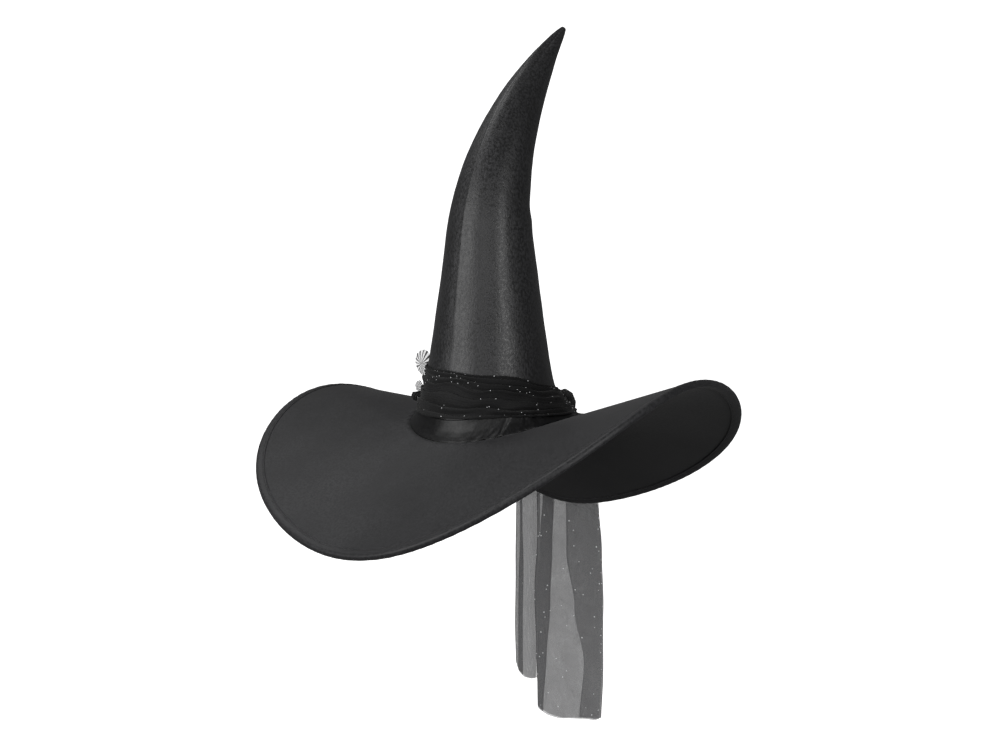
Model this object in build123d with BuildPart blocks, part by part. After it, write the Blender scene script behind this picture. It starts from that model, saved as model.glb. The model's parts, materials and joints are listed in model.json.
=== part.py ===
"""Wide-brimmed witch hat: satin over foam, a crown that curves back to its tip, and a tulle sash
whose two tails hang from the back of the brim.

+Z is up, -Y is the front, +X the wearer's left. The origin is the centre of the head opening,
at the mean height of the seam between crown and brim. Lengths are in millimetres, angles run
counter-clockwise from +X.
"""

import os
from math import atan2, cos, exp, pi, radians, sin, sqrt, tau

from build123d import *

# ---------------------------------------------------------------- driving dimensions
# brim: straight rulings of one length run from the seam to a wavy edge
seam_radius = 99.6
brim_width = 181
edge_droop = 44
side_lift = 30
front_droop = 23
side_roll = 73
back_lobe = 2
edge_square = 4
edge_skew = 3
edge_flick = 2
seam_left = 4
seam_back = 2
seam_saddle = 8
brim_cover = 0.8
brim_foam = 3.2
layer_gap = 0.2

# crown: round sections on a spine that is upright, then leans back along a parabola
crown_height = 451
crown_base_radius = 73
crown_fullness = 2.6
crown_waist = 18
tip_radius = 4.5
foot_flare = 17
flare_height = 22
foot_top = 60
crown_forward = 8.7
forward_rise = 45
bend_start = 204
tip_setback = 145
crown_cover_thickness = 0.8
crown_foam_thickness = 2.0
lining_thickness = 0.5
foot_depth = 5
spine_wire_radius = 1.2
wire_stand_off = 3
channel_width = 8
channel_wall = 0.45
wire_clearance = 0.05

# binding round the brim's edge
binding_width = 9
binding_overhang = 2
binding_cloth = 1.0
binding_gap = 0.3
wire_radius = 0.9
ferrule_radius = 1.55
ferrule_length = 14
thread = 0.5

# inside the head opening
tape_thickness = 0.5
tape_bottom = -4.5
tape_top = 9
sweatband_thickness = 1.0
sweatband_top = 24
label_width = 22
label_height = 14
label_rise = 60
label_corner = 1.5
label_thickness = 0.3
label_stand_off = 1.6

# band, sash and their trimmings
band_height = 24
band_puff = 4.6
band_inset = 0.2
sash_turn = radians(235)
sash_low_middle = 14.5
sash_low_swing = 3
sash_low_turn = radians(300)
sash_high_middle = 52
sash_high_swing = 14
sash_valley = 1.4
sash_ridge = 3.2
pleats = 5
knot_turn = radians(62)
knot_radius = 90
knot_rise = 17
knot_depth = 20
knot_length = 38
knot_height = 26
knot_rounding = 4.5
rosette_turn = radians(200)

# tails: pleated tulle that hangs from a line just outside the back edge
tail_line_y = 227
tail_heading = 7.5
pleat_depth = 3.5
pleat_width = 12
tulle_thickness = 0.8
run_lift = 1.7
long_tail_span = (-97, 4)
long_tail_top = -138
long_tail_bottom = -460
short_tail_span = (-131, -99)
short_tail_top = -124
short_tail_bottom = -415

# how finely curved forms are divided
loop_points = 60
section_step = 13
tip_heights = [434, 441, 446, 449.5]
crown_heights = list(range(foot_top, tip_heights[0] - 5, section_step)) + tip_heights
wire_heights = list(range(foot_top, 380, section_step))
smallest_section = 1.2
cut_depth = 300


# ---------------------------------------------------------------- shape of the hat
def seam_height(turn):
    """Height of the crown's seam: a shallow saddle."""
    return seam_left * cos(turn) + seam_back * sin(turn) + seam_saddle * cos(2 * turn)


def edge_rise(turn):
    """Height of the brim's edge above the seam beside it."""
    rise = side_lift * cos(turn) - front_droop * sin(turn) + side_roll * cos(2 * turn) - edge_droop
    ripple = back_lobe * sin(3 * turn) + edge_square * cos(4 * turn) - edge_skew * sin(4 * turn)
    return rise + ripple + edge_flick * sin(5 * turn)


def brim_corner(run, lift):
    """A closed curve on the brim: run along the ruling from the seam, lift square to it."""

    def corner(turn):
        fall = edge_rise(turn) / brim_width
        level = sqrt(1 - fall**2)
        radius = seam_radius + run * level - lift * fall
        return (radius * cos(turn), radius * sin(turn), seam_height(turn) + run * fall + lift * level)

    return corner


def hole_corner(radius, lift):
    """A closed curve on the brim where a cylinder round the head opening cuts it."""

    def corner(turn):
        fall = edge_rise(turn) / brim_width
        level = sqrt(1 - fall**2)
        height = seam_height(turn) + (radius - seam_radius) * fall / level + lift / level
        return (radius * cos(turn), radius * sin(turn), height)

    return corner


def crown_radius(rise):
    """Radius of the crown's outside at a height above the seam."""
    share = min(max(rise, 0) / crown_height, 1)
    body = crown_base_radius * (1 - share**crown_fullness) - crown_waist * sin(pi * share)
    return body + tip_radius * sqrt(1 - share**12) + foot_flare * exp(-max(rise, 0) / flare_height)


def crown_centre(rise):
    """Y of the crown's spine: eased forward above the foot, then leaning back to the tip."""
    eased = min(max(rise, 0) / forward_rise, 1)
    leaned = max(rise - bend_start, 0) / (crown_height - bend_start)
    return tip_setback * leaned**2 - crown_forward * eased**2 * (3 - 2 * eased)


def crown_lean(rise):
    """Lean of the spine from the vertical."""
    span = crown_height - bend_start
    return atan2(2 * tip_setback * max(rise - bend_start, 0) / span, span)


def crown_place(turn, rise, outset):
    """A point beside the crown's outside, outset square to the spine."""
    faded = min(max(rise, 0) / foot_top, 1)
    lift = seam_height(turn) * (1 - faded) ** 2 * (1 + 2 * faded)
    radius = crown_radius(rise) + outset
    lean = crown_lean(rise)
    back = radius * sin(turn)
    return (radius * cos(turn), crown_centre(rise) + back * cos(lean), rise + lift - back * sin(lean))


def crown_corner(rise, outset):
    """A closed curve round the crown; rise and outset are numbers or functions of the turn."""

    def corner(turn):
        height = rise(turn) if callable(rise) else rise
        proud = outset(turn) if callable(outset) else outset
        return crown_place(turn, height, proud)

    return corner


# ---------------------------------------------------------------- ways of making solids
def closed_curve(corner):
    """The closed spline through one corner of a ring's section."""
    points = [corner(tau * step / loop_points) for step in range(loop_points)]
    with BuildLine(mode=Mode.PRIVATE) as curve:
        Spline(*points, periodic=True)
    return curve.edge()


def ring(*corners):
    """The solid whose section has these corners, with a ruled face between each two."""
    curves = [closed_curve(corner) for corner in corners]
    following = curves[1:] + curves[:1]
    faces = [Face.make_surface_from_curves(near, far) for near, far in zip(curves, following)]
    return Solid(Shell(faces))


def brim_layer(top, bottom, outer_run, hole_radius=seam_radius):
    """A layer of the brim between two lifts, from its hole to a run along the ruling."""
    return ring(
        hole_corner(hole_radius, top),
        brim_corner(outer_run, top),
        brim_corner(outer_run, bottom),
        hole_corner(hole_radius, bottom),
    )


def crown_form(inset):
    """The crown above its foot as a closed form, inset from its outside."""
    heights = [height for height in crown_heights if crown_radius(height) - inset > smallest_section]

    def lowered(height):
        return height - 1.6 * inset * (height / crown_height) ** 8

    def section(height):
        change = crown_radius(height) - crown_radius(lowered(height))
        return closed_curve(crown_corner(lowered(height), change - inset))

    return Solid.make_loft([Wire([section(height)]) for height in heights], ruled=True)


def crown_foot(inset, thickness):
    """The flared foot of one layer of the crown, down to the turned-in edge at the seam."""
    rises = [-foot_depth, 0, 5, 10, 16, 23, 31, 40, 50, foot_top]
    outside = [crown_corner(rise, -inset) for rise in rises]
    inside = [crown_corner(rise, -inset - thickness) for rise in reversed(rises)]
    return ring(*outside, *inside)


def band_round(*profile):
    """A ring on the crown from (rise, outset) corners."""
    return ring(*[crown_corner(rise, outset) for rise, outset in profile])


def edge_tube(run, lift, radius, sides=8):
    """A round rod that follows the brim's edge."""
    angles = [tau * side / sides for side in range(sides)]
    return ring(*[brim_corner(run + radius * cos(a), lift + radius * sin(a)) for a in angles])


def finish(builder, name):
    """Label a finished piece and write its file."""
    builder.part.label = name
    export_step(builder.part, f"parts/{name}.step")
    print(name, round(builder.part.volume, 1), builder.part.is_valid, len(builder.part.solids()))


os.makedirs("parts", exist_ok=True)

# ---------------------------------------------------------------- brim
top_of_core = -brim_cover - layer_gap
bottom_of_core = top_of_core - brim_foam
top_of_under = bottom_of_core - layer_gap
bottom_of_brim = top_of_under - brim_cover
wire_run = brim_width - 2.1
wire_lift = (top_of_core + bottom_of_core) / 2

brim_top_form = brim_layer(0, -brim_cover, brim_width)
with BuildPart() as brim_top_cover:
    add(brim_top_form)
finish(brim_top_cover, "brim_top_cover")

brim_core_form = brim_layer(top_of_core, bottom_of_core, brim_width - 4.2)
with BuildPart() as brim_core:
    add(brim_core_form)
finish(brim_core, "brim_core")

brim_under_form = brim_layer(top_of_under, bottom_of_brim, brim_width)
with BuildPart() as brim_under_cover:
    add(brim_under_form)
finish(brim_under_cover, "brim_under_cover")

brim_wire_form = edge_tube(wire_run, wire_lift, wire_radius)
with BuildPart() as brim_wire:
    add(brim_wire_form)
finish(brim_wire, "brim_wire")

# a short crimp tube joins the wire's ends at the back
ferrule_outside = edge_tube(wire_run, wire_lift, ferrule_radius)
ferrule_inside = edge_tube(wire_run, wire_lift, wire_radius + 0.1)
with BuildPart() as brim_wire_ferrule:
    add(ferrule_outside)
    add(ferrule_inside, mode=Mode.SUBTRACT)
    with BuildSketch(Plane.XY.offset(-cut_depth)):
        with Locations((0, seam_radius + brim_width)):
            Rectangle(ferrule_length, brim_width)
    extrude(amount=2 * cut_depth, mode=Mode.INTERSECT)
finish(brim_wire_ferrule, "brim_wire_ferrule")

# the binding's section is a C round the three layers
binding_inside = [
    (-binding_width, binding_gap),
    (binding_gap, binding_gap),
    (0.9, -0.8),
    (0.9, bottom_of_brim + 0.8),
    (binding_gap, bottom_of_brim - binding_gap),
    (-binding_width, bottom_of_brim - binding_gap),
]
binding_outside = [
    (-binding_width, bottom_of_brim - binding_gap - binding_cloth),
    (0, bottom_of_brim - binding_gap - binding_cloth),
    (binding_overhang, bottom_of_brim + 0.4),
    (binding_overhang, -0.4),
    (0, binding_gap + binding_cloth),
    (-binding_width, binding_gap + binding_cloth),
]
binding_profile = binding_inside + binding_outside
binding_form = ring(*[brim_corner(brim_width + run, lift) for run, lift in binding_profile])
with BuildPart() as brim_binding:
    add(binding_form)
finish(brim_binding, "brim_binding")


def thread_ring(lift):
    """One line of stitching beside the binding's free edge."""
    run = brim_width - binding_width - 0.3
    return ring(
        brim_corner(run, lift),
        brim_corner(run - thread, lift),
        brim_corner(run - thread, lift + thread),
        brim_corner(run, lift + thread),
    )


top_stitches = thread_ring(binding_gap)
under_stitches = thread_ring(bottom_of_brim - binding_gap - thread)
with BuildPart() as binding_stitching:
    add(top_stitches)
    add(under_stitches)
finish(binding_stitching, "binding_stitching")

# ---------------------------------------------------------------- crown
foam_inset = crown_cover_thickness + layer_gap
lining_inset = foam_inset + crown_foam_thickness + layer_gap
crown_inset = lining_inset + lining_thickness

def crown_shell(outer_inset, thickness, name):
    """One cloth or foam layer of the crown."""
    outside = crown_form(outer_inset)
    inside = crown_form(outer_inset + thickness)
    foot = crown_foot(outer_inset, thickness)
    with BuildPart() as shell:
        add(outside)
        add(inside, mode=Mode.SUBTRACT)
        add(foot)
    finish(shell, name)


crown_shell(0, crown_cover_thickness, "crown_cover")
crown_shell(foam_inset, crown_foam_thickness, "crown_foam")
crown_shell(lining_inset, lining_thickness, "crown_lining")

# the wire that holds the bend runs up the inside of the front, in a sewn channel
wire_inset = crown_inset + wire_stand_off + spine_wire_radius


def front_plane(height, inset):
    """The plane across the crown's front line at a height."""
    lean = crown_lean(height)
    x, y, z = crown_place(-pi / 2, height, -inset)
    return Plane(origin=(x, y, z), x_dir=(1, 0, 0), z_dir=(0, sin(lean), cos(lean)))


with BuildPart() as crown_spine_wire:
    for height in wire_heights:
        with BuildSketch(front_plane(height, wire_inset)):
            Circle(spine_wire_radius)
    loft(ruled=True)
finish(crown_spine_wire, "crown_spine_wire")

with BuildPart() as spine_wire_channel:
    for height in wire_heights:
        with BuildSketch(front_plane(height, wire_inset)):
            RectangleRounded(channel_width, 2 * (spine_wire_radius + channel_wall), spine_wire_radius)
    loft(ruled=True)
    for height in wire_heights:
        with BuildSketch(front_plane(height, wire_inset)):
            Circle(spine_wire_radius + wire_clearance)
    loft(mode=Mode.SUBTRACT, ruled=True)
finish(spine_wire_channel, "spine_wire_channel")

# ---------------------------------------------------------------- head opening
tape_inset = crown_inset + layer_gap
tape_back = tape_inset + tape_thickness
sweatband_inset = tape_back + 0.1
sweatband_back = sweatband_inset + sweatband_thickness

tape_profile = [
    (tape_bottom, -tape_inset),
    (tape_top, -tape_inset),
    (tape_top, -tape_back),
    (tape_bottom, -tape_back),
]
seam_tape_form = band_round(*tape_profile)
with BuildPart() as seam_tape:
    add(seam_tape_form)
finish(seam_tape, "seam_tape")

sweatband_rises = [-foot_depth, 4, 13, sweatband_top]
sweatband_profile = [(rise, -sweatband_inset) for rise in sweatband_rises]
sweatband_profile += [(rise, -sweatband_back) for rise in reversed(sweatband_rises)]
sweatband_form = band_round(*sweatband_profile)
with BuildPart() as sweatband:
    add(sweatband_form)
finish(sweatband, "sweatband")

# a blank label lies flat on the lining at the back
label_y = crown_place(pi / 2, label_rise + label_height / 2, -crown_inset)[1] - label_stand_off
with BuildPart() as care_label:
    with BuildSketch(Plane.XZ.offset(-label_y)):
        with Locations((0, label_rise)):
            RectangleRounded(label_width, label_height, label_corner)
    extrude(amount=label_thickness)
finish(care_label, "care_label")

# ---------------------------------------------------------------- satin band and tulle sash
band_bottom = 0.5 - foot_depth
band_profile = [
    (band_bottom, band_inset),
    (band_bottom, 1.4),
    (0.2, 3.6),
    (3, band_puff),
    (9, band_puff + 1),
    (16, band_puff - 0.4),
    (band_height, 2),
    (band_height, band_inset),
    (10, band_inset),
    (4, band_inset),
]
satin_band_form = band_round(*band_profile)
with BuildPart() as satin_band:
    add(satin_band_form)
finish(satin_band, "satin_band")


def sash_low(turn):
    """The sash's lower edge keeps nearly level while the seam rises and falls."""
    level = sash_low_middle + sash_low_swing * cos(turn - sash_low_turn)
    return level - 0.85 * seam_height(turn)


def sash_high(turn):
    """The sash's upper edge is highest above the rosette."""
    return sash_high_middle + sash_high_swing * cos(turn - sash_turn)


def sash_rise(share):
    return lambda turn: sash_low(turn) + share * (sash_high(turn) - sash_low(turn))


def clear_of_band(proud):
    """Outset of the sash's inside: over the band's puff low down, on the crown above it."""

    def outset(share):
        def value(turn):
            height = sash_rise(share)(turn)
            over_band = (band_puff + 1.3) * exp(-((max(height - 8, 0) / 17) ** 4))
            return max(over_band, 0.4) + proud

        return value

    return outset


inner_side = clear_of_band(0)
valley = clear_of_band(sash_valley)
ridge = clear_of_band(sash_ridge)
sash_profile = [(sash_rise(0), valley(0))]
for pleat in range(pleats):
    sash_profile.append((sash_rise((pleat + 0.5) / pleats), ridge((pleat + 0.5) / pleats)))
    sash_profile.append((sash_rise((pleat + 1) / pleats), valley((pleat + 1) / pleats)))
for step in range(2 * pleats, -1, -1):
    sash_profile.append((sash_rise(step / (2 * pleats)), inner_side(step / (2 * pleats))))
sash_form = band_round(*sash_profile)
with BuildPart() as sash_wrap:
    add(sash_form)
finish(sash_wrap, "sash_wrap")

# a thick sleeve round the crown, band and sash trims what is sewn against them
sleeve_profile = [
    (-12, -6),
    (-12, 5.2),
    (0, 10),
    (14, 10),
    (24, 7.8),
    (34, 5.2),
    (66, 4.4),
    (110, 0.5),
    (110, -6),
    (40, -6),
]
sleeve = band_round(*sleeve_profile)
knot_centre = (knot_radius * cos(knot_turn), knot_radius * sin(knot_turn), knot_rise)
brim_trim = brim_layer(run_lift + 1.4, -20, 60)
with BuildPart() as sash_knot:
    with BuildSketch(Plane(origin=knot_centre, x_dir=(cos(knot_turn), sin(knot_turn), 0))):
        Ellipse(knot_depth / 2, knot_length / 2)
    extrude(amount=knot_height / 2, both=True)
    fillet(sash_knot.edges(), knot_rounding)
    add(sleeve, mode=Mode.SUBTRACT)
    add(brim_trim, mode=Mode.SUBTRACT)
finish(sash_knot, "sash_knot")

# ---------------------------------------------------------------- tails
run_top = run_lift + tulle_thickness
run_start = seam_radius + 2
run_end = brim_width + binding_overhang + 0.6
tulle_layer = ring(
    hole_corner(run_start, run_top),
    brim_corner(run_end, run_top),
    brim_corner(run_end, run_lift),
    hole_corner(run_start, run_lift),
)


def tail_run(plan, name):
    """A strip of tulle that lies over the brim, cut from the layer above it to a plan."""
    with BuildPart() as strip:
        add(tulle_layer)
        with BuildSketch(Plane.XY.offset(-cut_depth)):
            with BuildLine():
                Polyline(*plan, close=True)
            make_face()
        extrude(amount=2 * cut_depth, mode=Mode.INTERSECT)
    finish(strip, name)


def on_tail_line(along, out=0):
    """Plan position by distance along X on the line the tails hang from."""
    slope = sin(radians(tail_heading)) / cos(radians(tail_heading))
    return (along, tail_line_y + along * slope + out)


long_run_plan = [
    (38, 93),
    (60, 84),
    (34, 150),
    on_tail_line(5, 12),
    on_tail_line(-97, 12),
    (-30, 140),
    (36, 95),
]
short_run_plan = [
    (34, 96),
    (-33, 140),
    on_tail_line(-99, 12),
    on_tail_line(-133, 12),
    (-75, 150),
    (14, 100),
]
tail_run(long_run_plan, "long_tail_run")
tail_run(short_run_plan, "short_tail_run")


def hanging_tail(span, top, bottom, name):
    """A pleated strip that hangs straight down from the tail line."""
    heading = radians(tail_heading)
    start = Vector(*on_tail_line(span[0]), bottom)
    width = (span[1] - span[0]) / cos(heading)
    folds = max(2, 2 * round(width / pleat_width / 2))
    plane = Plane(origin=start, x_dir=(cos(heading), sin(heading), 0), z_dir=(0, 0, 1))
    wave = []
    for step in range(2 * folds + 1):
        wave.append((width * step / (2 * folds), (pleat_depth - tulle_thickness) * sin(pi * step / 2)))
    with BuildPart() as tail:
        with BuildSketch(plane):
            with BuildLine() as outline:
                Spline(*[(x, y - tulle_thickness / 2) for x, y in wave])
                Spline(*[(x, y + tulle_thickness / 2) for x, y in wave])
                Line((0, wave[0][1] - tulle_thickness / 2), (0, wave[0][1] + tulle_thickness / 2))
                Line(
                    (width, wave[-1][1] - tulle_thickness / 2), (width, wave[-1][1] + tulle_thickness / 2)
                )
            make_face(outline.edges())
        extrude(amount=top - bottom)
    finish(tail, name)


hanging_tail(long_tail_span, long_tail_top, long_tail_bottom, "long_tail")
hanging_tail(short_tail_span, short_tail_top, short_tail_bottom, "short_tail")

# ---------------------------------------------------------------- rosette on the wearer's right
def rosette_plane(height, outset):
    """An upright plane that stands out from the crown through the rosette's line."""
    x, y, z = crown_place(rosette_turn, height, outset)
    out = (cos(rosette_turn), sin(rosette_turn), 0)
    return Plane(origin=(x, y, z), x_dir=out, z_dir=(sin(rosette_turn), -cos(rosette_turn), 0))


def ribbon_loop(height, outset, across, tall, width, cloth, name):
    """A loop of ribbon that stands off the crown."""
    with BuildPart() as loop:
        with BuildSketch(rosette_plane(height, outset)):
            Ellipse(across / 2, tall / 2)
            Ellipse(across / 2 - cloth, tall / 2 - cloth, mode=Mode.SUBTRACT)
        extrude(amount=width / 2, both=True)
        add(sleeve, mode=Mode.SUBTRACT)
    finish(loop, name)


ribbon_loop(63, 12, 17, 28, 15, 1.0, "rosette_upper_loop")
ribbon_loop(39, 13, 13, 12, 11, 1.0, "rosette_lower_loop")

with BuildPart() as rosette_centre:
    with BuildSketch(rosette_plane(25, 10)):
        Ellipse(7.5, 6)
    extrude(amount=9, both=True)
    fillet(rosette_centre.edges(), 4)
    add(sleeve, mode=Mode.SUBTRACT)
finish(rosette_centre, "rosette_centre")
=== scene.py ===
"""Witch hat: satin over foam, a curved crown, a wavy bound brim, a glittering tulle sash with a
side rosette, and two tulle tails that hang over the back of the brim.

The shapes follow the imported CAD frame, read by rays and boxes, in metres: +Z up, -Y the front,
+X the wearer's left, origin at the centre of the head opening.
"""

import json
import random
from math import atan2, cos, exp, hypot, pi, radians, sin, sqrt, tau

import bmesh
import bpy
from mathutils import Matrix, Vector, noise
from mathutils.bvhtree import BVHTree


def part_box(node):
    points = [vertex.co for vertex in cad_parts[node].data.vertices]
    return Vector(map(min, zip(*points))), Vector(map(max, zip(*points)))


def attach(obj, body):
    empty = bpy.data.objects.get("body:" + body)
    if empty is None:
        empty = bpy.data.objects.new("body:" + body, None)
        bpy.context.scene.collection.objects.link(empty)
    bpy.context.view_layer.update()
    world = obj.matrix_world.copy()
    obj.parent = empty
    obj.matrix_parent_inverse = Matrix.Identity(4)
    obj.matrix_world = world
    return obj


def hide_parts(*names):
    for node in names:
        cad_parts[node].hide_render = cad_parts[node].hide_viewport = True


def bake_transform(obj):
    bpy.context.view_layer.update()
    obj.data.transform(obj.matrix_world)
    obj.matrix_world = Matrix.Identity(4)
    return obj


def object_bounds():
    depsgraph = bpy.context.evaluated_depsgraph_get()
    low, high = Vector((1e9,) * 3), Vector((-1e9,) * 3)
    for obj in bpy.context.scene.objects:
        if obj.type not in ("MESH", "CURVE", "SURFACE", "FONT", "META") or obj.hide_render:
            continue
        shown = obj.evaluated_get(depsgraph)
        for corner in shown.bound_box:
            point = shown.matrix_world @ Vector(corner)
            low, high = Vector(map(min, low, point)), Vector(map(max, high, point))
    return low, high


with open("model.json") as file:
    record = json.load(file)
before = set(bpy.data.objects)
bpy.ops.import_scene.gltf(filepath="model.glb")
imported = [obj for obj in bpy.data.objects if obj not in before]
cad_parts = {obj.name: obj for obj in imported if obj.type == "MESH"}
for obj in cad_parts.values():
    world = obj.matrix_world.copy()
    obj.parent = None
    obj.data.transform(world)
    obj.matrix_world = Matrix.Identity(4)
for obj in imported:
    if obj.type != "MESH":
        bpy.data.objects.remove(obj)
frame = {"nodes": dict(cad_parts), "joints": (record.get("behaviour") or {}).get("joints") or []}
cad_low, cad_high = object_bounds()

MM = 0.001
scene = bpy.context.scene
random.seed(31)


# ---- reading the CAD
def tree(node):
    """A ray-casting tree of a CAD node."""
    return BVHTree.FromObject(frame["nodes"][node], bpy.context.evaluated_depsgraph_get())


brim_top_tree = tree("brim_top_cover")
brim_under_tree = tree("brim_under_cover")
crown_tree = tree("crown_cover")
lining_tree = tree("crown_lining")

DOWN = Vector((0, 0, -1))
UP = Vector((0, 0, 1))
SKY = 1.0


def brim_height(x, y):
    """Height of the brim's top at a plan position, or None off the brim."""
    hit = brim_top_tree.ray_cast(Vector((x, y, SKY)), DOWN)[0]
    return None if hit is None else hit.z


def under_height(x, y):
    hit = brim_under_tree.ray_cast(Vector((x, y, -SKY)), UP)[0]
    return None if hit is None else hit.z


def last_radius(turn, low, high, inside):
    """The radius where a test changes, found by halving."""
    for _ in range(16):
        middle = (low + high) / 2
        if inside(middle * cos(turn), middle * sin(turn)):
            low = middle
        else:
            high = middle
    return low


def on_brim(x, y):
    return brim_height(x, y) is not None


def off_brim(x, y):
    return brim_height(x, y) is None


TURNS = 360
INNER_RADIUS = 0.05
MIDDLE_RADIUS = 0.15
RIM_INSET = 0.2 * MM
brim_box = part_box("brim_top_cover")
OUTER_RADIUS = hypot(brim_box[1].x, brim_box[1].y)


def settled(values):
    """The values round the hat with lone outliers, where a ray slips along an edge, evened out."""
    return [sorted(values[(k + step) % TURNS] for step in range(-2, 3))[2] for k in range(TURNS)]


hole_radius = settled([
    last_radius(tau * k / TURNS, INNER_RADIUS, MIDDLE_RADIUS, off_brim) + RIM_INSET
    for k in range(TURNS)
])
edge_radius = settled([
    last_radius(tau * k / TURNS, MIDDLE_RADIUS, OUTER_RADIUS, on_brim) - RIM_INSET
    for k in range(TURNS)
])


def at_turn(values, turn):
    """A value of a table round the hat, between its entries."""
    place = (turn / tau % 1) * TURNS
    low = int(place) % TURNS
    share = place - int(place)
    return values[low] * (1 - share) + values[(low + 1) % TURNS] * share


def polar(turn, radius, height=0.0):
    return Vector((radius * cos(turn), radius * sin(turn), height))


def edge_point(turn):
    radius = at_turn(edge_radius, turn)
    return polar(turn, radius, brim_height(radius * cos(turn), radius * sin(turn)) or 0)


seam_table = [brim_height(*polar(tau * k / TURNS, hole_radius[k]).xy) or 0 for k in range(TURNS)]


def seam_height(turn):
    return at_turn(seam_table, turn)


crown_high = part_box("crown_cover")[1]
FORWARD = 8.7 * MM
FORWARD_RISE = 45 * MM
BEND_START = 204 * MM
SETBACK = 145 * MM
STRAIGHT_RISE = 60 * MM
RAY_REACH = 0.3
RAY_NUDGE = 0.0007
RAY_NUDGES = 4
RAY_LIFTS = 12


def spine(height):
    """Centre of the crown at a height: eased forward above the foot, then leaning back."""
    eased = min(max(height / FORWARD_RISE, 0), 1)
    leaned = max(height - BEND_START, 0) / (crown_high.z - BEND_START)
    return Vector((0, SETBACK * leaned ** 2 - FORWARD * eased ** 2 * (3 - 2 * eased), height))


def section_back(height):
    """The backward direction in the crown's section at a height, square to its spine."""
    if height < STRAIGHT_RISE:
        return Vector((0, 1, 0))
    slope = 2 * SETBACK * max(height - BEND_START, 0) / (crown_high.z - BEND_START) ** 2
    return Vector((0, 1, -slope)).normalized()


def skin_point(wall, height, turn):
    """A point of the outside of a wall of the crown; a ray along an edge is nudged aside."""
    for step in range(RAY_NUDGES * RAY_LIFTS):
        aside = turn + RAY_NUDGE * (step % RAY_NUDGES)
        lifted = step // RAY_NUDGES * MM
        centre = spine(height + lifted)
        out = Vector((cos(aside), 0, 0)) + section_back(height) * sin(aside)
        hit = wall.ray_cast(centre + out * RAY_REACH, -out, RAY_REACH)[0]
        if hit is not None:
            return hit - Vector((0, 0, lifted))
    raise ValueError(f"the crown has a hole at {height}, {turn}")


# ---- meshes
def linked(name, data):
    """A new object in the scene."""
    obj = bpy.data.objects.new(name, data)
    scene.collection.objects.link(obj)
    return obj


def from_bmesh(name, made):
    """A new object with the mesh that was made."""
    mesh = bpy.data.meshes.new(name)
    made.to_mesh(mesh)
    made.free()
    return linked(name, mesh)


def grid(name, rows, wrap=False, cap=False, uv=None):
    """A mesh from rows of points; wrap joins each row's ends, cap closes the last row to a point."""
    mesh = bpy.data.meshes.new(name)
    width = len(rows[0])
    verts = [tuple(p) for row in rows for p in row]
    faces = []
    spans = width if wrap else width - 1
    for r in range(len(rows) - 1):
        for c in range(spans):
            d = (c + 1) % width
            faces.append((r * width + c, r * width + d, (r + 1) * width + d, (r + 1) * width + c))
    if cap:
        tip = sum((Vector(p) for p in rows[-1]), Vector()) / width
        verts.append(tuple(tip + (tip - sum((Vector(p) for p in rows[-2]), Vector()) / width) * 0.5))
        last = (len(rows) - 1) * width
        faces += [(last + c, last + (c + 1) % width, len(verts) - 1) for c in range(width)]
    mesh.from_pydata(verts, [], faces)
    obj = linked(name, mesh)
    if uv:
        layer = mesh.uv_layers.new(name="cloth")
        for loop in mesh.loops:
            row, column = divmod(loop.vertex_index, width)
            layer.data[loop.index].uv = uv(row, column) if row < len(rows) else (0, 0)
    smooth(obj)
    return obj


def smooth(obj):
    obj.data.polygons.foreach_set("use_smooth", [True] * len(obj.data.polygons))
    obj.data.update()


def thicken(obj, thickness, offset=-1):
    cloth = obj.modifiers.new("cloth", "SOLIDIFY")
    cloth.thickness = thickness
    cloth.offset = offset
    apply(obj)


def apply(obj):
    """Replace the mesh with what its modifiers make of it."""
    graph = bpy.context.evaluated_depsgraph_get()
    made = bpy.data.meshes.new_from_object(obj.evaluated_get(graph))
    obj.modifiers.clear()
    obj.data = made
    smooth(obj)


def paint(obj, material):
    obj.data.materials.clear()
    obj.data.materials.append(material)


def dress(obj, material, body="hat", replaced=()):
    """Give a new piece its material and its body, and hide the CAD nodes it replaces."""
    paint(obj, material)
    if body:
        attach(obj, body)
    if replaced:
        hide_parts(*replaced)
    return obj


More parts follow.
